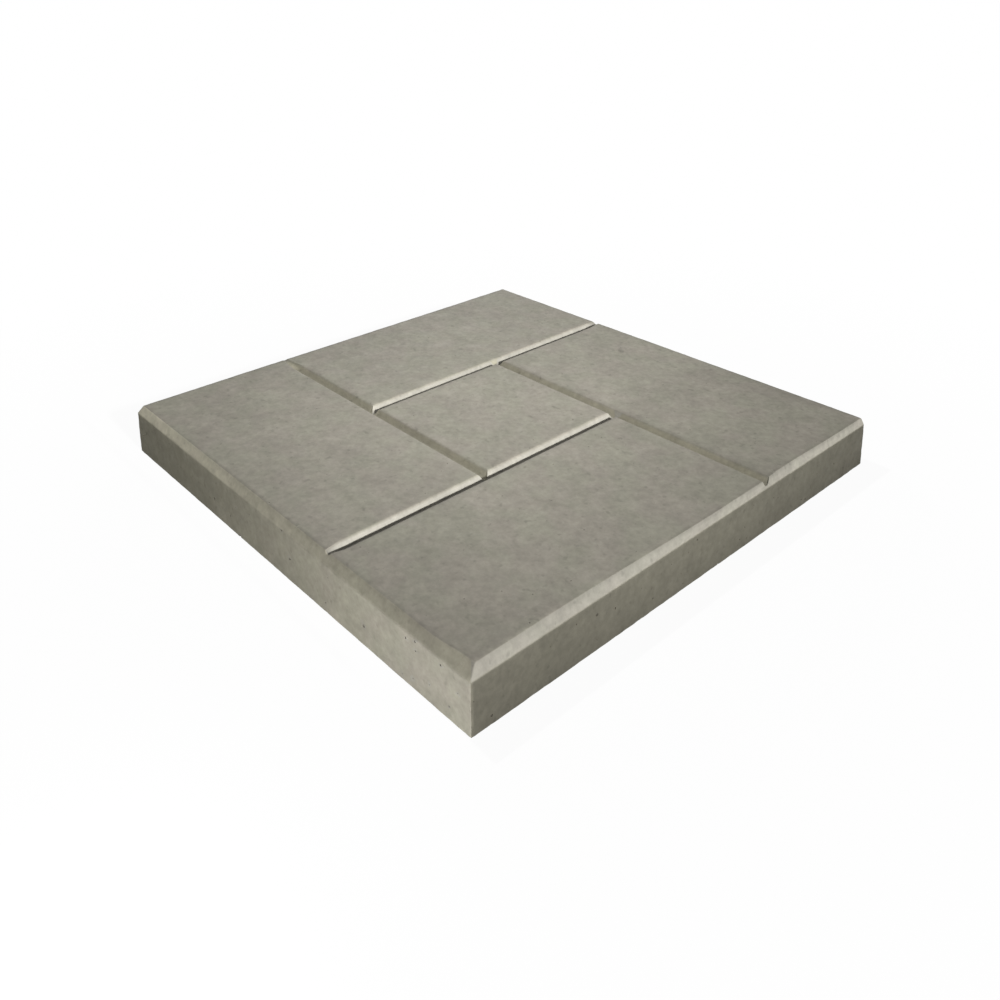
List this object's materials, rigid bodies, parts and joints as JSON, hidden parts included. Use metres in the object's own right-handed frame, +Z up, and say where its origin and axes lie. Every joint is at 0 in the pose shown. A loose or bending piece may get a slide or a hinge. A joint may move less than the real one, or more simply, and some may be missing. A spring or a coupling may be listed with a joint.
{
  "type": "concrete paving slab",
  "caption": "Square concrete paving slab with a bevelled edge and shallow grooves that set small rectangles in a pinwheel round a centre square.",
  "frame": {"origin": "centre of the flat underside, on the surface the slab lies on", "axes": "+Z up through the grooved face; X and Y along the sides, the groove nearest +X opening in the -Y side"},
  "size_m": [0.3, 0.3, 0.03],
  "materials": {
    "concrete": "matte"
  },
  "bodies": {
    "root": {"paving_slab": "concrete"}
  },
  "joints": []
}
